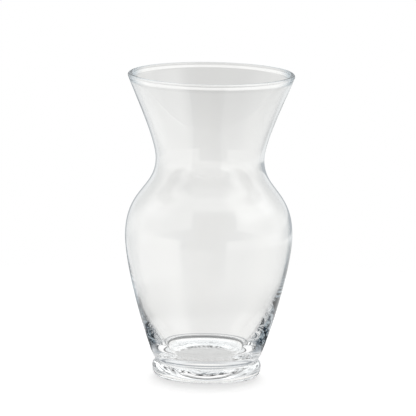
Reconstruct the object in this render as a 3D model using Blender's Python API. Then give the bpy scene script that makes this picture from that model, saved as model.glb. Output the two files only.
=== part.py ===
"""Clear glass flower vase: a blown bowl with a flared mouth, fused onto a heavy pressed foot.

Metres, +Z up. The origin is on the vase's axis, in the plane that the foot stands on.
Both pieces are turned shapes: an outline of (radius, height) points carried round the axis.
"""

import math

import bmesh
import bpy
from mathutils import Vector
from mathutils.geometry import interpolate_bezier

# Foot: a solid disc with a round edge, a flat ring to stand on and a hollow underside
FOOT_RADIUS = 0.0352
FOOT_HEIGHT = 0.0098
FOOT_EDGE_HEIGHT = 0.0058
FOOT_LOWER_ROUND = 0.0050
REST_RING_WIDTH = 0.0040
PUNT_DEPTH = 0.0040

# The seam where the bowl is fused to the foot: one flat disc on each piece, set in by a groove
GROOVE_DEPTH = 0.0026
SEAM_GAP = 0.0003

# Bowl: radii, and the rise of each stretch from the seam up to the top of the rim
MOUTH_RADIUS = 0.0536
WAIST_RADIUS = 0.0349
BELLY_RADIUS = 0.0539
BELLY_RISE = 0.0819
SHOULDER_RISE = 0.0495
FLARE_RISE = 0.0555

# How long the outline runs on along its own direction at each of its stations
HEEL_LEAN = math.radians(51.0)
HEEL_EASE = 0.0050
BELLY_EASE_BELOW = 0.0230
BELLY_EASE_ABOVE = 0.0290
WAIST_EASE_BELOW = 0.0200
WAIST_EASE_ABOVE = 0.0120
MOUTH_LEAN = math.radians(21.3)
MOUTH_EASE = 0.0150

# Glass thickness, square to the wall
RIM_THICKNESS = 0.0030
RIM_BEAD_LENGTH = 0.0060
FLARE_WALL = 0.0017
WAIST_WALL = 0.0020
BELLY_WALL = 0.0014
HEEL_WALL = 0.0070
HEEL_SWELL = 2.2

# Inside of the bowl's bottom: a flat floor with a rounded corner up to the wall
FLOOR_THICKNESS = 0.0052
FLOOR_RADIUS = 0.0245
FLOOR_CORNER_RISE = 0.0030

# Fineness of the solids
FACETS = 64
SPAN_POINTS = 8
ROUND_POINTS = 6
RIM_POINTS = 4
WELD_DISTANCE = 1e-6
SHARP_ANGLE = math.radians(35.0)

# Worked out from the sizes above, with bowl heights measured up from the seam
SEAM_RADIUS = FOOT_RADIUS - GROOVE_DEPTH
REST_OUTER_RADIUS = FOOT_RADIUS - FOOT_LOWER_ROUND
REST_INNER_RADIUS = REST_OUTER_RADIUS - REST_RING_WIDTH
WAIST_HEIGHT = BELLY_RISE + SHOULDER_RISE
BOWL_HEIGHT = WAIST_HEIGHT + FLARE_RISE

# Glass
GLASS_COLOUR = (0.93, 0.96, 0.96, 1.0)
GLASS_ROUGHNESS = 0.02
GLASS_IOR = 1.5


def direction(lean):
    """The (radius, height) direction that rises while leaning outwards from upright by this angle."""
    return Vector((math.sin(lean), math.cos(lean)))


def span(start, start_handle, end_handle, end):
    """Points on one smooth curve from start to end, leaving out start itself."""
    return interpolate_bezier(start, start_handle, end_handle, end, SPAN_POINTS + 1)[1:]


def arc(centre, radii, first, last, count):
    """Points on part of an ellipse about centre, from one angle to another, leaving out the first."""
    angles = [first + (last - first) * step / count for step in range(1, count + 1)]
    return [centre + Vector((radii.x * math.cos(a), radii.y * math.sin(a))) for a in angles]


def smooth_step(share):
    """0 to 1 with level ends, for a share from 0 to 1."""
    share = min(1.0, max(0.0, share))
    return share * share * (3.0 - 2.0 * share)


def wall_thickness(height):
    """Glass thickness at a height above the seam: thick at the heel, thin at the belly, beaded at the rim."""
    if height < BELLY_RISE:
        depth = (BELLY_RISE - height) / (BELLY_RISE - FLOOR_THICKNESS)
        return BELLY_WALL + (HEEL_WALL - BELLY_WALL) * min(1.0, depth) ** HEEL_SWELL
    if height < WAIST_HEIGHT:
        share = smooth_step((height - BELLY_RISE) / SHOULDER_RISE)
        return BELLY_WALL + (WAIST_WALL - BELLY_WALL) * share
    bead_start = lip_point().y - RIM_BEAD_LENGTH
    flare = smooth_step((height - WAIST_HEIGHT) / (bead_start - WAIST_HEIGHT))
    wall = WAIST_WALL + (FLARE_WALL - WAIST_WALL) * flare
    bead = smooth_step((height - bead_start) / RIM_BEAD_LENGTH)
    return wall + (RIM_THICKNESS - wall) * bead


def rim_centre():
    """Centre of the rim's round edge."""
    half = RIM_THICKNESS / 2.0
    return Vector((MOUTH_RADIUS - half, BOWL_HEIGHT - half))


def lip_point():
    """Where the outside of the flare runs into the rim's round edge."""
    outwards = Vector((math.cos(MOUTH_LEAN), -math.sin(MOUTH_LEAN)))
    return rim_centre() + outwards * RIM_THICKNESS / 2.0


def bowl_outside():
    """Outside of the bowl from the seam up to the lip."""
    seam = Vector((SEAM_RADIUS, 0.0))
    belly = Vector((BELLY_RADIUS, BELLY_RISE))
    waist = Vector((WAIST_RADIUS, WAIST_HEIGHT))
    lip = lip_point()
    up = Vector((0.0, 1.0))
    return [
        seam,
        *span(seam, seam + direction(HEEL_LEAN) * HEEL_EASE, belly - up * BELLY_EASE_BELOW, belly),
        *span(belly, belly + up * BELLY_EASE_ABOVE, waist - up * WAIST_EASE_BELOW, waist),
        *span(waist, waist + up * WAIST_EASE_ABOVE, lip - direction(MOUTH_LEAN) * MOUTH_EASE, lip),
    ]


def rim_round():
    """The rim's round edge, from the lip over its top to the inside of the flare."""
    radii = Vector((RIM_THICKNESS / 2.0, RIM_THICKNESS / 2.0))
    top = math.pi / 2.0
    return [
        *arc(rim_centre(), radii, -MOUTH_LEAN, top, RIM_POINTS),
        *arc(rim_centre(), radii, top, math.pi - MOUTH_LEAN, RIM_POINTS),
    ]


def bowl_inside(outside):
    """Inside of the wall from the lip down to the floor's corner, square to the outside at each point."""
    inside = []
    corner_top = FLOOR_THICKNESS + FLOOR_CORNER_RISE
    for below, point, above in zip(outside, outside[1:], outside[2:]):
        along = (above - below).normalized()
        inward = Vector((-along.y, along.x))
        moved = point + inward * wall_thickness(point.y)
        if moved.y > corner_top:
            inside.append(moved)
    return inside[::-1]


def floor_corner(wall):
    """The rounded corner from the foot of the inside wall to the edge of the flat floor."""
    start = wall[-1]
    edge = Vector((FLOOR_RADIUS, FLOOR_THICKNESS))
    down = (wall[-1] - wall[-2]).normalized()
    reach = (start - edge).length / 2.0
    return span(start, start + down * reach, edge + Vector((reach, 0.0)), edge)


def bowl_outline():
    """The bowl's whole section, from the middle of the seam round to the middle of the floor."""
    outside = bowl_outside()
    inside = bowl_inside(outside)
    return [
        Vector((0.0, 0.0)),
        *outside,
        *rim_round(),
        *inside,
        *floor_corner(inside),
        Vector((0.0, FLOOR_THICKNESS)),
    ]


def foot_outline():
    """The foot's whole section, from the middle of the seam round to the middle of the hollow underside."""
    top_round = Vector((GROOVE_DEPTH, FOOT_HEIGHT - FOOT_EDGE_HEIGHT))
    bottom_round = Vector((FOOT_LOWER_ROUND, FOOT_EDGE_HEIGHT))
    quarter = math.pi / 2.0
    top_edge = arc(Vector((SEAM_RADIUS, FOOT_EDGE_HEIGHT)), top_round, quarter, 0.0, ROUND_POINTS)
    low_edge = arc(
        Vector((REST_OUTER_RADIUS, FOOT_EDGE_HEIGHT)), bottom_round, 0.0, -quarter, ROUND_POINTS
    )
    dome_radius = (REST_INNER_RADIUS**2 + PUNT_DEPTH**2) / (2.0 * PUNT_DEPTH)
    dome_centre = Vector((0.0, PUNT_DEPTH - dome_radius))
    dome_half = math.asin(REST_INNER_RADIUS / dome_radius)
    dome = arc(
        dome_centre, Vector((dome_radius, dome_radius)), quarter - dome_half, quarter, ROUND_POINTS
    )
    return [
        Vector((0.0, FOOT_HEIGHT)),
        Vector((SEAM_RADIUS, FOOT_HEIGHT)),
        *top_edge,
        *low_edge,
        Vector((REST_INNER_RADIUS, 0.0)),
        *dome,
    ]


def clear_glass():
    """Clear soda-lime glass with a faint cool tint."""
    glass = bpy.data.materials.new("clear_glass")
    glass.use_nodes = True
    shader = glass.node_tree.nodes["Principled BSDF"]
    shader.inputs["Base Color"].default_value = GLASS_COLOUR
    shader.inputs["Roughness"].default_value = GLASS_ROUGHNESS
    shader.inputs["Metallic"].default_value = 0.0
    shader.inputs["IOR"].default_value = GLASS_IOR
    shader.inputs["Transmission Weight"].default_value = 1.0
    return glass


def turned(name, outline, glass, parent, height):
    """One closed solid of revolution, standing at a height on the axis."""
    shape = bmesh.new()
    verts = [shape.verts.new((point.x, 0.0, point.y)) for point in outline]
    edges = [shape.edges.new(pair) for pair in zip(verts, verts[1:])]
    bmesh.ops.spin(
        shape,
        geom=verts + edges,
        cent=(0.0, 0.0, 0.0),
        axis=(0.0, 0.0, 1.0),
        angle=math.tau,
        steps=FACETS,
        use_merge=True,
    )
    bmesh.ops.remove_doubles(shape, verts=shape.verts, dist=WELD_DISTANCE)
    bmesh.ops.recalc_face_normals(shape, faces=shape.faces)
    mesh = bpy.data.meshes.new(name)
    shape.to_mesh(mesh)
    shape.free()
    mesh.materials.append(glass)
    mesh.shade_smooth()
    mesh.set_sharp_from_angle(angle=SHARP_ANGLE)
    solid = bpy.data.objects.new(name, mesh)
    solid.parent = parent
    solid.location.z = height
    bpy.context.scene.collection.objects.link(solid)
    return solid


def main():
    for old in list(bpy.data.objects):
        bpy.data.objects.remove(old, do_unlink=True)
    vase = bpy.data.objects.new("vase", None)
    bpy.context.scene.collection.objects.link(vase)
    glass = clear_glass()
    turned("foot", foot_outline(), glass, vase, 0.0)
    turned("bowl", bowl_outline(), glass, vase, FOOT_HEIGHT + SEAM_GAP)


main()
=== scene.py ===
"""Looks of a clear glass flower vase: a blown bowl fused onto a pressed foot, on white paper.

Metres, +Z up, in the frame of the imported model. The bowl and the foot are turned from finer
outlines than the solids they stand for, and a white studio with a dark front is set around them.
"""

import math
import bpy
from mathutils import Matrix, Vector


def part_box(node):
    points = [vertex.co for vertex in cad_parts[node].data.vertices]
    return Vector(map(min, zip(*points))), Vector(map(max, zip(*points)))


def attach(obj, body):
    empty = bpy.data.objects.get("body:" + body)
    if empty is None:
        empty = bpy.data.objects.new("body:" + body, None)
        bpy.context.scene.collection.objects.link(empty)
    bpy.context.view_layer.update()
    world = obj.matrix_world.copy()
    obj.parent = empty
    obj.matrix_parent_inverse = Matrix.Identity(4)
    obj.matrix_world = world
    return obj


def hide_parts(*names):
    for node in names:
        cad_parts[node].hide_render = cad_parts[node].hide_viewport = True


bl_info = {
    "name": "Glass Flower Vase",
    "version": (1, 0, 0),
    "blender": (4, 5, 0),
    "location": "3D View > Sidebar > Vase",
    "description": "Builds a clear glass flower vase on its packed frame, in a white studio",
    "category": "Add Mesh",
}

import bmesh
import bpy
from bpy.props import FloatProperty, FloatVectorProperty, PointerProperty
from bpy.types import Operator, Panel, PropertyGroup
from mathutils import Matrix, Vector, noise
from mathutils.geometry import interpolate_bezier

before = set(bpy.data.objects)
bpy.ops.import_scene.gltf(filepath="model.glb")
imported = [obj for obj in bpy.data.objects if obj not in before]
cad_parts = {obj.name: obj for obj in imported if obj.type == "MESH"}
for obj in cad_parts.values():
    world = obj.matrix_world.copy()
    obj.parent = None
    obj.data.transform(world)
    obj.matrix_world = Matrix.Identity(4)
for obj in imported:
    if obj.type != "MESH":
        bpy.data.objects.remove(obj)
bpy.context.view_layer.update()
BOWL_LOW, BOWL_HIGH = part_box("bowl")
FOOT_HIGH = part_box("foot")[1]

# Fineness of the turned meshes
FACETS = 256
SPAN_POINTS = 28
CORNER_POINTS = 18
ROUND_POINTS = 12
WELD_DISTANCE = 1e-6
SHARP_ANGLE = math.radians(35.0)

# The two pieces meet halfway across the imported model's gap, almost touching
SEAM_HEIGHT = (BOWL_LOW.z + FOOT_HIGH.z) / 2.0
SEAM_CLEARANCE = 0.00002


class BowlSizes(PropertyGroup):
    """Sizes of the bowl, with rises measured up from the bottom of the bowl."""

    mouth_radius: FloatProperty(
        name="Mouth radius", description="Outside radius of the rim", default=0.0536, unit="LENGTH"
    )
    waist_radius: FloatProperty(
        name="Waist radius", description="Outside radius of the waist", default=0.0349, unit="LENGTH"
    )
    belly_radius: FloatProperty(
        name="Belly radius", description="Outside radius of the belly", default=BOWL_HIGH.x, unit="LENGTH"
    )
    belly_rise: FloatProperty(
        name="Belly rise", description="From the seam up to the widest belly", default=0.0819, unit="LENGTH"
    )
    shoulder_rise: FloatProperty(
        name="Shoulder rise", description="From the belly up to the waist", default=0.0495, unit="LENGTH"
    )
    heel_lean: FloatProperty(
        name="Heel lean",
        description="How far the heel leans outwards",
        default=math.radians(51.0),
        subtype="ANGLE",
    )
    heel_ease: FloatProperty(
        name="Heel ease",
        description="How far the heel runs on before it curves up",
        default=0.0050,
        unit="LENGTH",
    )
    mouth_lean: FloatProperty(
        name="Mouth lean",
        description="How far the flare leans outwards",
        default=math.radians(21.3),
        subtype="ANGLE",
    )
    rim_thickness: FloatProperty(
        name="Rim thickness", description="Across the rim's round bead", default=0.0030, unit="LENGTH"
    )
    rim_bead_length: FloatProperty(
        name="Rim bead length",
        description="Over which the wall swells to the rim",
        default=0.0020,
        unit="LENGTH",
    )
    flare_wall: FloatProperty(
        name="Flare wall", description="Glass thickness of the flare", default=0.0017, unit="LENGTH"
    )
    waist_wall: FloatProperty(
        name="Waist wall", description="Glass thickness of the waist", default=0.0020, unit="LENGTH"
    )
    belly_wall: FloatProperty(
        name="Belly wall", description="Glass thickness of the belly", default=0.0014, unit="LENGTH"
    )
    heel_wall: FloatProperty(
        name="Heel wall", description="Glass thickness at the heel", default=0.0076, unit="LENGTH"
    )
    heel_swell: FloatProperty(
        name="Heel swell", description="How late the wall thickens towards the heel", default=3.0
    )
    floor_thickness: FloatProperty(
        name="Floor thickness", description="Glass under the inside floor", default=0.0052, unit="LENGTH"
    )
    floor_radius: FloatProperty(
        name="Floor radius", description="Flat part of the inside floor", default=0.0245, unit="LENGTH"
    )
    floor_corner_rise: FloatProperty(
        name="Floor corner rise",
        description="Height of the corner round the floor",
        default=0.0030,
        unit="LENGTH",
    )
    bore_shift: FloatProperty(
        name="Bore shift",
        description="How far the hollow sits off the axis low down",
        default=0.0007,
        unit="LENGTH",
    )


class FootSizes(PropertyGroup):
    """Sizes of the foot."""

    radius: FloatProperty(
        name="Radius", description="Outside radius of the foot", default=FOOT_HIGH.x, unit="LENGTH"
    )
    edge_height: FloatProperty(
        name="Edge height", description="Height of the widest edge", default=0.0058, unit="LENGTH"
    )
    lower_round: FloatProperty(
        name="Lower round", description="Rounding under the edge", default=0.0050, unit="LENGTH"
    )
    ring_width: FloatProperty(
        name="Ring width", description="Width of the ring that it stands on", default=0.0040, unit="LENGTH"
    )
    punt_depth: FloatProperty(
        name="Punt depth", description="Depth of the hollow underside", default=0.0040, unit="LENGTH"
    )
    groove_depth: FloatProperty(
        name="Groove depth", description="How far the seam is set in", default=0.0026, unit="LENGTH"
    )
    ripple_height: FloatProperty(
        name="Ripple height",
        description="Unevenness of the pressed underside",
        default=0.00030,
        unit="LENGTH",
    )


class GlassFinish(PropertyGroup):
    """Colours and finish of the glass, and of the shade painted on it."""

    tint: FloatVectorProperty(
        name="Tint",
        description="Colour of thin glass",
        default=(0.986, 0.987, 0.985),
        subtype="COLOR",
        size=3,
    )
    # Colour of the seeds, and of the mould line at the heel, whose darkness is painted shade
    line_colour: FloatVectorProperty(
        name="Line colour",
        description="Mould line and seeds",
        default=(0.10, 0.12, 0.15),
        subtype="COLOR",
        size=3,
    )
    # Painted shade: the dark outline where the glass is seen edge-on
    outline_shade_colour: FloatVectorProperty(
        name="Edge colour",
        description="Outline of the glass",
        default=(0.14, 0.18, 0.22),
        subtype="COLOR",
        size=3,
    )
    # Painted shade: the dark band low on the wall, where the thick glass shows the dark room
    band_shade_colour: FloatVectorProperty(
        name="Band colour",
        description="Thick wall at the edge",
        default=(0.37, 0.47, 0.54),
        subtype="COLOR",
        size=3,
    )
    # Painted shade: the dark flecks in that band
    fleck_shade_colour: FloatVectorProperty(
        name="Mottle colour",
        description="Dark flecks in it",
        default=(0.002, 0.006, 0.014),
        subtype="COLOR",
        size=3,
    )
    index: FloatProperty(name="Index", description="Index of refraction", default=1.5)


class StudioLight(PropertyGroup):
    """Levels of the studio that the glass shows, where 1 is white."""

    gap_level: FloatProperty(name="Front gap", description="Open dark room straight ahead", default=0.06)
    front_level: FloatProperty(name="Front", description="Dim room either side of the gap", default=0.20)
    left_level: FloatProperty(name="Left wall", description="White wall on the left", default=0.85)
    right_level: FloatProperty(name="Right wall", description="White wall on the right", default=0.83)
    left_rise: FloatProperty(name="Left rise", description="How much brighter it is higher up", default=1.6)
    right_rise: FloatProperty(name="Right rise", description="How much brighter it is higher up", default=2.2)
    sweep_level: FloatProperty(name="Sweep", description="White paper rising behind", default=1.05)
    sweep_low: FloatProperty(name="Sweep, low", description="Its dimmer foot", default=0.60)
    sweep_side: FloatProperty(name="Sweep sides", description="Its dimmer sides", default=0.88)
    ceiling_front: FloatProperty(name="Ceiling in front", description="Dim ceiling", default=0.39)
    ceiling_back: FloatProperty(name="Ceiling behind", description="Bright ceiling", default=1.50)
    table_front: FloatProperty(name="Table in front", description="Dark end of the table", default=0.10)
    table_side: FloatProperty(name="Table at the sides", description="White table", default=1.00)
    table_back: FloatProperty(name="Table behind", description="White table", default=0.84)
    table_dark: FloatProperty(name="Dark strips", description="Dark things at its far edge", default=0.52)
    through_far: FloatProperty(name="Through, far", description="Far table seen through it", default=0.73)
    through_middle: FloatProperty(name="Through, middle", description="Sweep seen through it", default=1.0)
    one_wall: FloatProperty(name="One wall", description="Table seen through one wall alone", default=0.755)
    paper_low: FloatProperty(name="Low back light", description="On the paper", default=9.6)
    paper_high: FloatProperty(name="High back light", description="On the paper", default=2.35)
    cool: FloatVectorProperty(
        name="Cool",
        description="Colour of the dim room",
        default=(0.80, 0.96, 1.12),
        subtype="COLOR",
        size=3,
        max=2.0,
    )
    bright: FloatVectorProperty(
        name="Bright",
        description="Colour of the white walls",
        default=(0.972, 0.992, 1.0),
        subtype="COLOR",
        size=3,
    )
    warm: FloatVectorProperty(
        name="Warm",
        description="Colour seen through the glass",
        default=(1.0, 0.998, 0.985),
        subtype="COLOR",
        size=3,
    )
    paper: FloatVectorProperty(
        name="Paper", description="Colour of the floor", default=(0.85, 0.85, 0.85), subtype="COLOR", size=3
    )


def direction(lean):
    """The (radius, height) direction that rises while leaning outwards from upright by this angle."""
    return Vector((math.sin(lean), math.cos(lean)))


def span(start, start_handle, end_handle, end, count=SPAN_POINTS):
    """Points on one smooth curve from start to end, leaving out start itself."""
    return interpolate_bezier(start, start_handle, end_handle, end, count + 1)[1:]


def arc(centre, radii, first, last, count=ROUND_POINTS):
    """Points on part of an ellipse about centre, from one angle to another, leaving out the first."""
    angles = [first + (last - first) * step / count for step in range(1, count + 1)]
    return [centre + Vector((radii.x * math.cos(a), radii.y * math.sin(a))) for a in angles]


def smooth_step(share):
    """0 to 1 with level ends, for a share from 0 to 1."""
    share = min(1.0, max(0.0, share))
    return share * share * (3.0 - 2.0 * share)


class BowlSection:
    """The bowl's section, worked out from its sizes."""

    belly_ease_below = 0.0230
    belly_ease_above = 0.0290
    waist_ease_below = 0.0200
    waist_ease_above = 0.0120
    mouth_ease = 0.0150

    def __init__(self, size, seam_radius):
        self.size = size
        self.seam = Vector((seam_radius, 0.0))
        self.waist_height = size.belly_rise + size.shoulder_rise
        self.top = BOWL_HIGH.z - BOWL_LOW.z
        half = size.rim_thickness / 2.0
        self.rim_centre = Vector((size.mouth_radius - half, self.top - half))
        outwards = Vector((math.cos(size.mouth_lean), -math.sin(size.mouth_lean)))
        self.lip = self.rim_centre + outwards * half

    def wall(self, height):
        """Glass thickness: thick at the heel, thin at the belly, beaded at the rim."""
        size = self.size
        if height < size.belly_rise:
            depth = min(1.0, (size.belly_rise - height) / (size.belly_rise - size.floor_thickness))
            return size.belly_wall + (size.heel_wall - size.belly_wall) * depth**size.heel_swell
        if height < self.waist_height:
            share = smooth_step((height - size.belly_rise) / size.shoulder_rise)
            return size.belly_wall + (size.waist_wall - size.belly_wall) * share
        bead_start = self.lip.y - size.rim_bead_length
        flare = smooth_step((height - self.waist_height) / (bead_start - self.waist_height))
        wall = size.waist_wall + (size.flare_wall - size.waist_wall) * flare
        bead = smooth_step((height - bead_start) / size.rim_bead_length)
        return wall + (size.rim_thickness - wall) * bead

    def outside(self):
        """Outside of the bowl from the seam up to the lip."""
        size = self.size
        belly = Vector((size.belly_radius, size.belly_rise))
        waist = Vector((size.waist_radius, self.waist_height))
        up = Vector((0.0, 1.0))
        heel_handle = self.seam + direction(size.heel_lean) * size.heel_ease
        lip_handle = self.lip - direction(size.mouth_lean) * self.mouth_ease
        return [
            self.seam,
            *span(self.seam, heel_handle, belly - up * self.belly_ease_below, belly, 3 * SPAN_POINTS),
            *span(belly, belly + up * self.belly_ease_above, waist - up * self.waist_ease_below, waist),
            *span(waist, waist + up * self.waist_ease_above, lip_handle, self.lip),
        ]

    def rim(self):
        """The rim's round edge, from the lip over its top to the inside of the flare."""
        half = self.size.rim_thickness / 2.0
        lean = self.size.mouth_lean
        return arc(self.rim_centre, Vector((half, half)), -lean, math.pi - lean, 2 * ROUND_POINTS)

    def inside(self, outside):
        """Inside from the lip down the wall, round the floor's corner and along the floor."""
        size = self.size
        wall = []
        for below, point, above in zip(outside, outside[1:], outside[2:]):
            along = (above - below).normalized()
            inward = Vector((-along.y, along.x))
            moved = point + inward * self.wall(point.y)
            if moved.y > size.floor_thickness + size.floor_corner_rise:
                wall.append(moved)
        wall.reverse()
        edge = Vector((size.floor_radius, size.floor_thickness))
        down = (wall[-1] - wall[-2]).normalized()
        reach = (wall[-1] - edge).length / 2.0
        corner = span(wall[-1], wall[-1] + down * reach, edge + Vector((reach, 0.0)), edge, CORNER_POINTS)
        return [*wall, *corner, Vector((0.0, size.floor_thickness))]


def foot_section(size):
    """The foot's section, from the middle of the seam round to the middle of the hollow underside."""
    seam_radius = size.radius - size.groove_depth
    seam_height = SEAM_HEIGHT - SEAM_CLEARANCE / 2.0
    rest_outer = size.radius - size.lower_round
    rest_inner = rest_outer - size.ring_width
    top_round = Vector((size.groove_depth, seam_height - size.edge_height))
    low_round = Vector((size.lower_round, size.edge_height))
    quarter = math.pi / 2.0
    dome_radius = (rest_inner**2 + size.punt_depth**2) / (2.0 * size.punt_depth)
    dome_centre = Vector((0.0, size.punt_depth - dome_radius))
    dome_half = math.asin(rest_inner / dome_radius)
    dome_radii = Vector((dome_radius, dome_radius))
    return [
        Vector((0.0, seam_height)),
        Vector((seam_radius, seam_height)),
        *arc(Vector((seam_radius, size.edge_height)), top_round, quarter, 0.0),
        *arc(Vector((rest_outer, size.edge_height)), low_round, 0.0, -quarter),
        Vector((rest_inner, 0.0)),
        *arc(dome_centre, dome_radii, quarter - dome_half, quarter, 2 * ROUND_POINTS),
    ]


def turned(name, outline, weights, shift):
    """One closed mesh of revolution. Each outline point carries a weight, which shift turns into a move."""
    shape = bmesh.new()
    weight = shape.verts.layers.float.new("weight")
    verts = [shape.verts.new((point.x, 0.0, point.y)) for point in outline]
    for vert, value in zip(verts, weights):
        vert[weight] = value
    edges = [shape.edges.new(pair) for pair in zip(verts, verts[1:])]
    bmesh.ops.spin(
        shape,
        geom=verts + edges,
        cent=(0.0, 0.0, 0.0),
        axis=(0.0, 0.0, 1.0),
        angle=math.tau,
        steps=FACETS,
        use_merge=True,
    )
    bmesh.ops.remove_doubles(shape, verts=shape.verts, dist=WELD_DISTANCE)
    bmesh.ops.recalc_face_normals(shape, faces=shape.faces)
    shape.normal_update()
    moves = [(vert, shift(vert.co, vert.normal) * vert[weight]) for vert in shape.verts]
    for vert, move in moves:
        vert.co += move
    shape.verts.layers.float.remove(weight)
    mesh = bpy.data.meshes.new(name)
    shape.to_mesh(mesh)
    shape.free()
    mesh.shade_smooth()
    mesh.set_sharp_from_angle(angle=SHARP_ANGLE)
    piece = bpy.data.objects.new(name, mesh)
    bpy.context.scene.collection.objects.link(piece)
    return piece


class Wires:
    """Adds nodes to one node tree and joins them."""

    def __init__(self, tree):
        self.tree = tree

    def node(self, kind):
        return self.tree.nodes.new(kind)

    def feed(self, socket, value):
        if isinstance(value, bpy.types.NodeSocket):
            self.tree.links.new(value, socket)
        else:
            socket.default_value = value

    def math(self, operation, *values):
        step = self.node("ShaderNodeMath")
        step.operation = operation
        for socket, value in zip(step.inputs, values):
            self.feed(socket, value)
        return step.outputs[0]

    def ramp(self, value, start, end, first, last):
        step = self.node("ShaderNodeMapRange")
        step.interpolation_type = "SMOOTHSTEP"
        names = ("Value", "From Min", "From Max", "To Min", "To Max")
        for name, given in zip(names, (value, start, end, first, last)):
            self.feed(step.inputs[name], given)
        return step.outputs["Result"]

    def mix(self, share, first, second):
        step = self.node("ShaderNodeMix")
        for number, given in ((0, share), (2, first), (3, second)):
            self.feed(step.inputs[number], given)
        return step.outputs[0]

    def mix_colour(self, share, first, second):
        step = self.node("ShaderNodeMix")
        step.data_type = "RGBA"
        for number, given in ((0, share), (6, first), (7, second)):
            self.feed(step.inputs[number], given)
        return step.outputs[2]


def new_group(name, inputs, outputs):
    """A shader node group with these float or vector inputs and float outputs."""
    group = bpy.data.node_groups.new(name, "ShaderNodeTree")
    for label, kind in inputs:
        group.interface.new_socket(label, in_out="INPUT", socket_type=kind)
    for label in outputs:
        group.interface.new_socket(label, in_out="OUTPUT", socket_type="NodeSocketFloat")
    wires = Wires(group)
    return group, wires, wires.node("NodeGroupInput").outputs, wires.node("NodeGroupOutput").inputs


def glass_flow_group():
    """Seeds, faint cords and wiped smears of machine-made glass."""
    seeds_per_metre = 60.0
    smears_per_metre = 45.0
    most_roughness = 0.012
    group, wires, given, out = new_group(
        "glass flow",
        [("Place", "NodeSocketVector"), ("Cord size", "NodeSocketFloat"), ("Seed size", "NodeSocketFloat")],
        ["Seeds", "Roughness", "Height"],
    )
    stretch = wires.node("ShaderNodeVectorMath")
    stretch.operation = "MULTIPLY"
    wires.feed(stretch.inputs[0], given["Place"])
    stretch.inputs[1].default_value = (1.0, 1.0, 0.25)
    cords = wires.node("ShaderNodeTexNoise")
    wires.feed(cords.inputs["Vector"], stretch.outputs[0])
    wires.feed(cords.inputs["Scale"], wires.math("DIVIDE", 1.0, given["Cord size"]))
    cords.inputs["Detail"].default_value = 1.0
    wires.feed(out["Height"], cords.outputs[0])
    smears = wires.node("ShaderNodeTexNoise")
    wires.feed(smears.inputs["Vector"], given["Place"])
    smears.inputs["Scale"].default_value = smears_per_metre
    wires.feed(out["Roughness"], wires.ramp(smears.outputs[0], 0.45, 0.75, 0.0, most_roughness))
    cells = wires.node("ShaderNodeTexVoronoi")
    wires.feed(cells.inputs["Vector"], given["Place"])
    cells.inputs["Scale"].default_value = seeds_per_metre
    reach = wires.math("MULTIPLY", given["Seed size"], seeds_per_metre)
    wires.feed(out["Seeds"], wires.ramp(cells.outputs["Distance"], 0.0, reach, 1.0, 0.0))
    return group


def ring_line_group():
    """A thin line round the vase at a radius and height."""
    group, wires, given, out = new_group(
        "ring line",
        [
            ("Place", "NodeSocketVector"),
            ("Radius", "NodeSocketFloat"),
            ("Height", "NodeSocketFloat"),
            ("Reach", "NodeSocketFloat"),
        ],
        ["Line"],
    )
    split = wires.node("ShaderNodeSeparateXYZ")
    wires.feed(split.inputs[0], given["Place"])
    squares = [wires.math("POWER", split.outputs[axis], 2.0) for axis in ("X", "Y")]
    radius = wires.math("SQRT", wires.math("ADD", *squares))
    across = wires.math("POWER", wires.math("SUBTRACT", radius, given["Radius"]), 2.0)
    along = wires.math("POWER", wires.math("SUBTRACT", split.outputs["Z"], given["Height"]), 2.0)
    distance = wires.math("SQRT", wires.math("ADD", across, along))
    wires.feed(out["Line"], wires.ramp(distance, 0.0, given["Reach"], 1.0, 0.0))
    return group


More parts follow.
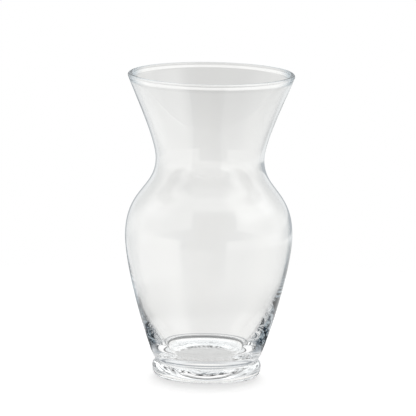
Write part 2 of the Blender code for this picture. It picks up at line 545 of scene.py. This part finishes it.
def edge_shade_group():
    """Masks of the painted shade on the glass: the outline, the rim's bead, and the flecked wall low down.

    This painted shade stands in for the dark room that thick, uneven glass shows at its edges. The low band
    is wider towards +X.
    """
    outline_facing = (0.82, 0.97)
    bead_heights = (0.1915, 0.1930)
    bead_facing = (0.45, 0.80)
    band_heights = (0.022, 0.066)
    band_facing = (0.49, 0.72)
    band_softness = 0.08
    band_raggedness = 0.08
    wider_per_metre = 0.9
    band_bottom = (0.0175, 0.025)
    band_top = (0.072, 0.105)
    flecks_per_metre = 620.0
    fleck_squash = (1.0, 0.3, 0.8)
    fleck_noise = (0.47, 0.55)
    fleck_top = (0.046, 0.060)
    group, wires, given, out = new_group(
        "edge shade",
        [("Place", "NodeSocketVector"), ("Facing", "NodeSocketFloat")],
        ["Line", "Band", "Mottle", "Rim"],
    )
    # Painted shade along the outline, where the glass is seen edge-on
    wires.feed(out["Line"], wires.ramp(given["Facing"], *outline_facing, 0.0, 1.0))
    split = wires.node("ShaderNodeSeparateXYZ")
    wires.feed(split.inputs[0], given["Place"])
    height = split.outputs["Z"]
    # Noise for the painted dark flecks and for the ragged edge of the painted band
    fleck_shade_noise = wires.node("ShaderNodeTexNoise")
    squash = wires.node("ShaderNodeVectorMath")
    squash.operation = "MULTIPLY"
    wires.feed(squash.inputs[0], given["Place"])
    squash.inputs[1].default_value = fleck_squash
    wires.feed(fleck_shade_noise.inputs["Vector"], squash.outputs[0])
    fleck_shade_noise.inputs["Scale"].default_value = flecks_per_metre
    fleck_shade_noise.inputs["Detail"].default_value = 2.0
    # Painted shade on the rim's bead, where it is seen edge-on
    bead = wires.ramp(height, *bead_heights, 0.0, 1.0)
    wires.feed(out["Rim"], wires.math("MULTIPLY", bead, wires.ramp(given["Facing"], *bead_facing, 0.0, 1.0)))
    # Painted shade in a band low on the wall, from where the glass turns edge-on
    start = wires.ramp(height, *band_heights, *band_facing)
    start = wires.math("SUBTRACT", start, wires.math("MULTIPLY", split.outputs["X"], wider_per_metre))
    ragged = wires.math("MULTIPLY", wires.math("SUBTRACT", fleck_shade_noise.outputs[0], 0.5), band_raggedness)
    start = wires.math("ADD", start, ragged)
    past = wires.math("SUBTRACT", given["Facing"], start)
    low = wires.ramp(height, *band_bottom, 0.0, 1.0)
    high = wires.ramp(height, *band_top, 1.0, 0.0)
    band = wires.ramp(past, 0.0, band_softness, 0.0, 1.0)
    wires.feed(out["Band"], wires.math("MULTIPLY", band, wires.math("MULTIPLY", low, high)))
    # Painted dark flecks in that band, fading out higher up
    flecks = wires.ramp(fleck_shade_noise.outputs[0], *fleck_noise, 0.0, 1.0)
    wires.feed(out["Mottle"], wires.math("MULTIPLY", flecks, wires.ramp(height, *fleck_top, 1.0, 0.0)))
    return group


def group_named(name, build):
    """The shared node group of this name, built on first use."""
    return bpy.data.node_groups.get(name) or build()


def glass(name, finish, cord_size, rings, outline_shade_share, band_shade_share):
    """Clear glass with cords, seeds, painted shade along its edges, and lines painted dark at the (radius,
    height, reach, share) rings.
    """
    seed_size = 0.0004
    seed_share = 0.6
    cord_strength = 0.02
    cord_depth = 0.001
    material = bpy.data.materials.new(name)
    material.use_nodes = True
    wires = Wires(material.node_tree)
    shader = material.node_tree.nodes["Principled BSDF"]
    place = wires.node("ShaderNodeTexCoord").outputs["Object"]
    flow = wires.node("ShaderNodeGroup")
    flow.node_tree = group_named("glass flow", glass_flow_group)
    wires.feed(flow.inputs["Place"], place)
    flow.inputs["Cord size"].default_value = cord_size
    flow.inputs["Seed size"].default_value = seed_size
    seeds = wires.math("MULTIPLY", flow.outputs["Seeds"], seed_share)
    colour = wires.mix_colour(seeds, (*finish.tint, 1.0), (*finish.line_colour, 1.0))
    # The lines at the rings are painted dark: their darkness is painted shade
    for radius, height, reach, share in rings:
        ring = wires.node("ShaderNodeGroup")
        ring.node_tree = group_named("ring line", ring_line_group)
        wires.feed(ring.inputs["Place"], place)
        ring.inputs["Radius"].default_value = radius
        ring.inputs["Height"].default_value = height
        ring.inputs["Reach"].default_value = reach
        colour = wires.mix_colour(
            wires.math("MULTIPLY", ring.outputs["Line"], share), colour, (*finish.line_colour, 1.0)
        )
    facing = wires.node("ShaderNodeLayerWeight")
    facing.inputs["Blend"].default_value = 0.5
    edge = wires.node("ShaderNodeGroup")
    edge.node_tree = group_named("edge shade", edge_shade_group)
    wires.feed(edge.inputs["Place"], place)
    wires.feed(edge.inputs["Facing"], facing.outputs["Facing"])
    # Only the first surface that the camera sees gets the painted shade, so that it isn't repeated inside
    path = wires.node("ShaderNodeLightPath").outputs
    painted_outline_share = wires.math("MULTIPLY", path["Is Camera Ray"], outline_shade_share)
    line = wires.math("MULTIPLY", edge.outputs["Line"], painted_outline_share)
    colour = wires.mix_colour(line, colour, (*finish.outline_shade_colour, 1.0))
    flecks = edge.outputs["Mottle"]
    # The band's painted shade, with its painted dark flecks
    thick = wires.mix_colour(flecks, (*finish.band_shade_colour, 1.0), (*finish.fleck_shade_colour, 1.0))
    # Where the band or the rim's bead gets painted shade
    dark = wires.math("MAXIMUM", edge.outputs["Band"], edge.outputs["Rim"])
    dark = wires.math("MULTIPLY", dark, wires.math("MULTIPLY", path["Is Camera Ray"], band_shade_share))
    colour = wires.mix_colour(dark, colour, thick)
    diffuse = wires.math("GREATER_THAN", path["Diffuse Depth"], 0.5)
    colour = wires.mix_colour(diffuse, colour, (0.0, 0.0, 0.0, 1.0))
    wires.feed(shader.inputs["Base Color"], colour)
    wires.feed(shader.inputs["Roughness"], flow.outputs["Roughness"])
    bump = wires.node("ShaderNodeBump")
    bump.inputs["Strength"].default_value = cord_strength
    bump.inputs["Distance"].default_value = cord_depth
    wires.feed(bump.inputs["Height"], flow.outputs["Height"])
    wires.feed(shader.inputs["Normal"], bump.outputs[0])
    shader.inputs["IOR"].default_value = finish.index
    shader.inputs["Transmission Weight"].default_value = 1.0
    return material


def fused_seam():
    """The hidden disc where the two masses of glass run into one: nothing shows there."""
    material = bpy.data.materials.new("fused_seam")
    material.use_nodes = True
    material.node_tree.nodes["Principled BSDF"].inputs["Alpha"].default_value = 0.0
    return material


def dress(piece, glass_material, seam_height):
    """Glass all over, and the fused seam on the flat disc at this height."""
    mesh = piece.data
    mesh.materials.append(glass_material)
    mesh.materials.append(fused_seam())
    for face in mesh.polygons:
        flat = abs(face.normal.z) > 0.999
        if flat and abs(face.center.z - seam_height) < SEAM_CLEARANCE:
            face.material_index = 1


class VASE_OT_foot(Operator):
    """Turn the pressed foot with its punt and its resting ring"""

    bl_idname = "vase.foot"
    bl_label = "Foot"

    ripple_length = 0.0032
    ripple_middle = 0.015
    ripple_middle_fade = 0.004
    ripple_rim_fade = 0.0015
    cord_size = 0.006
    # Share of the painted dark outline
    painted_outline_share = 0.3

    def execute(self, context):
        size = context.scene.vase_foot
        outline = foot_section(size)
        rest_inner = size.radius - size.lower_round - size.ring_width

        def ripple(place, normal):
            return normal * size.ripple_height * noise.noise(place / self.ripple_length)

        weights = []
        for point in outline:
            share = smooth_step((rest_inner - point.x) / self.ripple_rim_fade)
            share *= smooth_step((point.x - self.ripple_middle) / self.ripple_middle_fade)
            weights.append(share if point.y < size.edge_height else 0.0)
        foot = turned("foot_pressed", outline, weights, ripple)
        finish = context.scene.vase_glass
        pressed = glass("pressed_glass", finish, self.cord_size, [], self.painted_outline_share, 0.0)
        dress(foot, pressed, outline[0].y)
        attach(foot, "root")
        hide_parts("foot")
        return {"FINISHED"}


class VASE_OT_bowl(Operator):
    """Turn the blown bowl from its seam up to the rim and down its inside"""

    bl_idname = "vase.bowl"
    bl_label = "Bowl"

    shift_heights = (0.062, 0.035)
    mould_height = 0.0124
    mould_reach = 0.0011
    mould_shade_share = 0.95
    cord_size = 0.012
    # Share of the painted dark outline
    painted_outline_share = 0.9

    def execute(self, context):
        size = context.scene.vase_bowl
        foot = context.scene.vase_foot
        section = BowlSection(size, foot.radius - foot.groove_depth)
        outside = section.outside()
        inside = section.inside(outside)
        seam_height = SEAM_HEIGHT + SEAM_CLEARANCE / 2.0
        lift = Vector((0.0, BOWL_LOW.z))
        skin = [*outside, *section.rim()]
        outline = [Vector((0.0, seam_height)), Vector((section.seam.x, seam_height))]
        outline += [point + lift for point in skin + inside]
        weights = [0.0] * (len(skin) + 2) + [1.0] * len(inside)

        def off_axis(place, normal):
            top, full = self.shift_heights
            shift = size.bore_shift * smooth_step((top - place.z) / (top - full))
            return Vector((-shift, 0.0, 0.0))

        bowl = turned("bowl_blown", outline, weights, off_axis)
        # The mould line at the heel, painted dark: its darkness is painted shade
        heel = min(outside, key=lambda point: abs(point.y + lift.y - self.mould_height))
        mould_shade_line = (heel.x, heel.y + lift.y, self.mould_reach, self.mould_shade_share)
        finish = context.scene.vase_glass
        blown = glass("blown_glass", finish, self.cord_size, [mould_shade_line], self.painted_outline_share, 1.0)
        dress(bowl, blown, seam_height)
        bowl.visible_diffuse = False
        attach(bowl, "root")
        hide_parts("bowl")
        return {"FINISHED"}


class VASE_OT_stage(Operator):
    """Set up the paper floor, the white studio and the camera"""

    bl_idname = "vase.stage"
    bl_label = "Stage"

    def execute(self, context):
        light = context.scene.vase_light
        paper_floor(light)
        studio(light)
        camera()
        context.scene.view_settings.view_transform = "Standard"
        cycles = context.scene.cycles
        cycles.max_bounces = 64
        cycles.glossy_bounces = 48
        cycles.transmission_bounces = 48
        cycles.transparent_max_bounces = 24
        return {"FINISHED"}


def radial(wires, distance, level, steps):
    """A level that changes with distance at each (start, end, next level) step."""
    for start, end, following in steps:
        level = wires.ramp(distance, start, end, level, following)
    return level


def paper_floor(light):
    """A disc of white paper that fades out into the white around it.

    Glass shows it glowing at set levels: one set for rays that pass straight through, one for rays mirrored
    on the glass, and one for rays turned back inside a wall, which have crossed two surfaces. These levels
    are painted light and shade: darker rings round the foot are painted shadow, and the darker parts that
    mirrored rays see are painted shade.
    """
    radius = 6.0
    drop = 0.0002
    fade = (0.10, 0.42)
    mirrored_fade = (0.12, 0.20)
    in_wall_fade = (0.40, 0.55)
    through_fade = (4.0, 5.8)
    lift = 0.685
    shape = bmesh.new()
    bmesh.ops.create_circle(shape, cap_ends=True, segments=96, radius=radius)
    mesh = bpy.data.meshes.new("paper_floor")
    shape.to_mesh(mesh)
    shape.free()
    floor = bpy.data.objects.new("paper_floor", mesh)
    floor.location.z = -drop
    bpy.context.scene.collection.objects.link(floor)
    material = bpy.data.materials.new("white_paper")
    material.use_nodes = True
    wires = Wires(material.node_tree)
    paper = material.node_tree.nodes["Principled BSDF"]
    paper.inputs["Base Color"].default_value = (*light.paper, 1.0)
    paper.inputs["Roughness"].default_value = 1.0
    paper.inputs["Specular IOR Level"].default_value = 0.0
    paper.inputs["Emission Color"].default_value = (1.0, 1.0, 1.0, 1.0)
    path = wires.node("ShaderNodeLightPath").outputs
    wires.feed(paper.inputs["Emission Strength"], wires.mix(path["Is Diffuse Ray"], lift, 0.0))
    length = wires.node("ShaderNodeVectorMath")
    length.operation = "LENGTH"
    place = wires.node("ShaderNodeTexCoord").outputs["Object"]
    wires.feed(length.inputs[0], place)
    distance = length.outputs["Value"]
    # Painted contact shadow round the foot, broken by bright painted glints
    contact_shade_noise = wires.node("ShaderNodeTexNoise")
    wires.feed(contact_shade_noise.inputs["Vector"], place)
    contact_shade_noise.inputs["Scale"].default_value = 280.0
    contact_shade_and_glints = wires.ramp(contact_shade_noise.outputs[0], 0.44, 0.56, 0.02, 1.10)
    # Painted shadow seen straight through: darker under the foot and in a ring just outside it
    through = radial(wires, distance, 0.62, (
        (0.0220, 0.0235, 1.00), (0.0305, 0.0325, 0.12), (0.0350, 0.0370, 0.60), (0.042, 0.050, 0.88),
        (0.10, 0.25, 0.94), (0.72, 1.20, 0.78), (1.20, 1.50, 0.73),
    ))
    # Painted contact shadow and glints seen in mirrors, round the foot's edge
    near = radial(wires, distance, 0.62, ((0.0310, 0.0330, contact_shade_and_glints), (0.0400, 0.0420, 1.08)))
    split = wires.node("ShaderNodeSeparateXYZ")
    wires.feed(split.inputs[0], place)
    in_wall = wires.math("COMPARE", path["Transmission Depth"], 2.0, 0.5)
    # Painted shade seen inside the walls: a dark ring round the vase, and the paper darker towards +X beyond
    # it
    outer = wires.ramp(split.outputs["X"], -0.06, 0.06, 0.90, 0.38)
    in_wall_level = radial(wires, distance, near, ((0.066, 0.084, 0.20), (0.13, 0.17, outer)))
    # Painted shade seen in mirrors: a dark patch of paper behind the vase, about 60 to 125 mm out
    behind = wires.ramp(split.outputs["Y"], -0.03, 0.02, 0.93, 0.10)
    on_wall_level = radial(wires, distance, near, ((0.060, 0.075, behind), (0.100, 0.125, 0.93)))
    turned_back = wires.mix(in_wall, on_wall_level, in_wall_level)
    one_wall = wires.math("LESS_THAN", path["Transmission Depth"], 2.5)
    one_wall = wires.math("MULTIPLY", one_wall, wires.ramp(distance, 0.10, 0.15, 0.0, 1.0))
    through = wires.mix(one_wall, through, light.one_wall)
    mirrored = wires.math("GREATER_THAN", path["Glossy Depth"], 0.5)
    around = wires.mix(mirrored, through, turned_back)
    glow = wires.node("ShaderNodeEmission")
    wires.feed(glow.inputs["Strength"], around)
    wires.feed(glow.inputs["Color"], wires.mix_colour(mirrored, (*light.warm, 1.0), (1.0, 1.0, 1.0, 1.0)))
    glassy = wires.math("ADD", path["Glossy Depth"], path["Transmission Depth"])
    glassy = wires.math("GREATER_THAN", glassy, 0.5)
    glassy = wires.math("MULTIPLY", glassy, wires.math("LESS_THAN", path["Diffuse Depth"], 0.5))
    seen = wires.node("ShaderNodeMixShader")
    wires.feed(seen.inputs[0], glassy)
    wires.feed(seen.inputs[1], paper.outputs[0])
    wires.feed(seen.inputs[2], glow.outputs[0])
    in_wall_gone = wires.ramp(distance, *in_wall_fade, 0.0, 1.0)
    mirrored_gone = wires.mix(in_wall, wires.ramp(distance, *mirrored_fade, 0.0, 1.0), in_wall_gone)
    glass_gone = wires.mix(mirrored, wires.ramp(distance, *through_fade, 0.0, 1.0), mirrored_gone)
    gone = wires.mix(glassy, wires.ramp(distance, *fade, 0.0, 1.0), glass_gone)
    clear = wires.node("ShaderNodeBsdfTransparent")
    blend = wires.node("ShaderNodeMixShader")
    wires.feed(blend.inputs[0], gone)
    wires.feed(blend.inputs[1], seen.outputs[0])
    wires.feed(blend.inputs[2], clear.outputs[0])
    wires.feed(material.node_tree.nodes["Material Output"].inputs["Surface"], blend.outputs[0])
    mesh.materials.append(material)


def studio(light):
    """A white studio whose front is dark: walls left and right, a ceiling, and a sweep behind.

    Mirrored rays see this room. Straight rays see plain levels, the camera sees white, and the
    paper is lit by a back light of its own.
    """
    in_wall_dimming = 0.40
    world = bpy.data.worlds.new("white_studio")
    bpy.context.scene.world = world
    world.use_nodes = True
    world.node_tree.nodes.clear()
    wires = Wires(world.node_tree)
    background = wires.node("ShaderNodeBackground")
    output = wires.node("ShaderNodeOutputWorld")
    wires.feed(output.inputs["Surface"], background.outputs[0])
    path = wires.node("ShaderNodeLightPath").outputs
    split = wires.node("ShaderNodeSeparateXYZ")
    wires.feed(split.inputs[0], wires.node("ShaderNodeTexCoord").outputs["Generated"])
    towards_camera = wires.math("MULTIPLY", split.outputs["Y"], -1.0)
    turn = wires.math("DEGREES", wires.math("ARCTAN2", split.outputs["X"], towards_camera))
    tilt = wires.math("DEGREES", wires.math("ARCSINE", split.outputs["Z"]))
    away = wires.math("ABSOLUTE", turn)
    left = wires.ramp(turn, -96.0, -49.0, 1.0, 0.0)
    right = wires.ramp(turn, 30.0, 63.0, 0.0, 1.0)
    behind = wires.ramp(away, 115.0, 150.0, 0.0, 1.0)
    gap_left = wires.ramp(turn, -19.0, -13.0, 0.0, 1.0)
    gap_right = wires.ramp(turn, 24.0, 30.0, 1.0, 0.0)
    front = wires.mix(wires.math("MULTIPLY", gap_left, gap_right), light.front_level, light.gap_level)
    wall = wires.mix(right, wires.mix(left, front, light.left_level), light.right_level)
    lit = wires.mix(right, wires.mix(left, 1.0, light.left_rise), light.right_rise)
    wall = wires.math("MULTIPLY", wall, wires.ramp(tilt, 13.0, 34.0, 1.0, lit))
    sweep = wires.ramp(tilt, 10.0, 16.0, light.sweep_low, light.sweep_level)
    sweep = wires.ramp(away, 160.0, 172.0, light.sweep_side, sweep)
    wall = wires.mix(behind, wall, sweep)
    ceiling = wires.mix(wires.math("MAXIMUM", left, right), light.ceiling_front, light.ceiling_back)
    table = wires.ramp(turn, -43.0, -37.0, light.table_side, light.table_front)
    table = wires.ramp(turn, 22.0, 27.0, table, light.table_side)
    dark_left = wires.ramp(away, 157.0, 168.0, light.table_back, light.table_dark)
    dark_right = wires.ramp(tilt, -9.6, -7.8, light.table_back, light.table_dark)
    behind_table = wires.mix(wires.math("GREATER_THAN", turn, 0.0), dark_left, dark_right)
    table = wires.ramp(away, 110.0, 130.0, table, behind_table)
    room = wires.ramp(tilt, 44.0, 61.0, wires.ramp(tilt, -1.0, 0.0, table, wall), ceiling)
    through = wires.ramp(tilt, -1.0, 2.0, light.through_far, light.through_middle)
    mirrored = wires.math("GREATER_THAN", path["Glossy Depth"], 0.5)
    in_wall = wires.math("COMPARE", path["Transmission Depth"], 2.0, 0.5)
    in_wall = wires.math("MULTIPLY", in_wall, wires.ramp(away, 95.0, 110.0, 1.0, 0.0))
    dimming = wires.mix(in_wall, 1.0, wires.ramp(tilt, 0.0, 8.0, 1.0, in_wall_dimming))
    room = wires.math("MULTIPLY", room, dimming)
    shown = wires.mix(path["Is Camera Ray"], wires.mix(mirrored, through, room), 1.0)
    low = wires.ramp(tilt, 19.0, 30.0, light.paper_low, light.paper_high)
    back_light = wires.ramp(tilt, 36.0, 62.0, low, 0.3)
    on_paper = wires.math("MULTIPLY", wires.ramp(away, 140.0, 162.0, 0.0, 1.0), back_light)
    diffuse = wires.math("GREATER_THAN", path["Diffuse Depth"], 0.5)
    level = wires.mix(diffuse, shown, on_paper)
    wires.feed(background.inputs["Strength"], level)
    brightness = wires.ramp(shown, 0.05, 0.75, 0.0, 1.0)
    colour = wires.mix_colour(brightness, (*light.cool, 1.0), (*light.bright, 1.0))
    colour = wires.mix_colour(mirrored, (*light.warm, 1.0), colour)
    plain = wires.math("MAXIMUM", path["Is Camera Ray"], diffuse)
    colour = wires.mix_colour(plain, colour, (1.0, 1.0, 1.0, 1.0))
    wires.feed(background.inputs["Color"], colour)


def camera():
    """A long lens looking a little down at the vase, rolled by a degree."""
    lens = bpy.data.cameras.new("camera")
    lens.lens = 409.3
    lens.sensor_width = 36.0
    lens.clip_end = 100.0
    viewer = bpy.data.objects.new("camera", lens)
    bpy.context.scene.collection.objects.link(viewer)
    place = Vector((0.0, -3.0, 0.61862))
    target = Vector((-0.00077, 0.0, 0.1094))
    aim = (target - place).to_track_quat("-Z", "Y").to_matrix().to_4x4()
    roll = Matrix.Rotation(math.radians(0.99), 4, "Z")
    viewer.matrix_world = Matrix.Translation(place) @ aim @ roll
    bpy.context.scene.camera = viewer


class VASE_PT_sidebar(Panel):
    """Lists the vase's pieces and its stage"""

    bl_idname = "VASE_PT_sidebar"
    bl_label = "Glass vase"
    bl_space_type = "VIEW_3D"
    bl_region_type = "UI"
    bl_category = "Vase"

    def draw(self, context):
        for step in STEPS:
            self.layout.operator(step.bl_idname)
        for settings in SETTINGS:
            box = self.layout.box()
            holder = getattr(context.scene, settings)
            for name in SETTINGS[settings].__annotations__:
                box.prop(holder, name)


SETTINGS = {
    "vase_bowl": BowlSizes,
    "vase_foot": FootSizes,
    "vase_glass": GlassFinish,
    "vase_light": StudioLight,
}
STEPS = (VASE_OT_foot, VASE_OT_bowl, VASE_OT_stage)
CLASSES = (*SETTINGS.values(), *STEPS, VASE_PT_sidebar)


def register():
    for kind in CLASSES:
        bpy.utils.register_class(kind)
    for name, group in SETTINGS.items():
        setattr(bpy.types.Scene, name, PointerProperty(type=group))


def unregister():
    for name in SETTINGS:
        delattr(bpy.types.Scene, name)
    for kind in reversed(CLASSES):
        bpy.utils.unregister_class(kind)


def main():
    register()
    bpy.ops.vase.foot()
    bpy.ops.vase.bowl()
    bpy.ops.vase.stage()


if __name__ == "__main__":
    main()
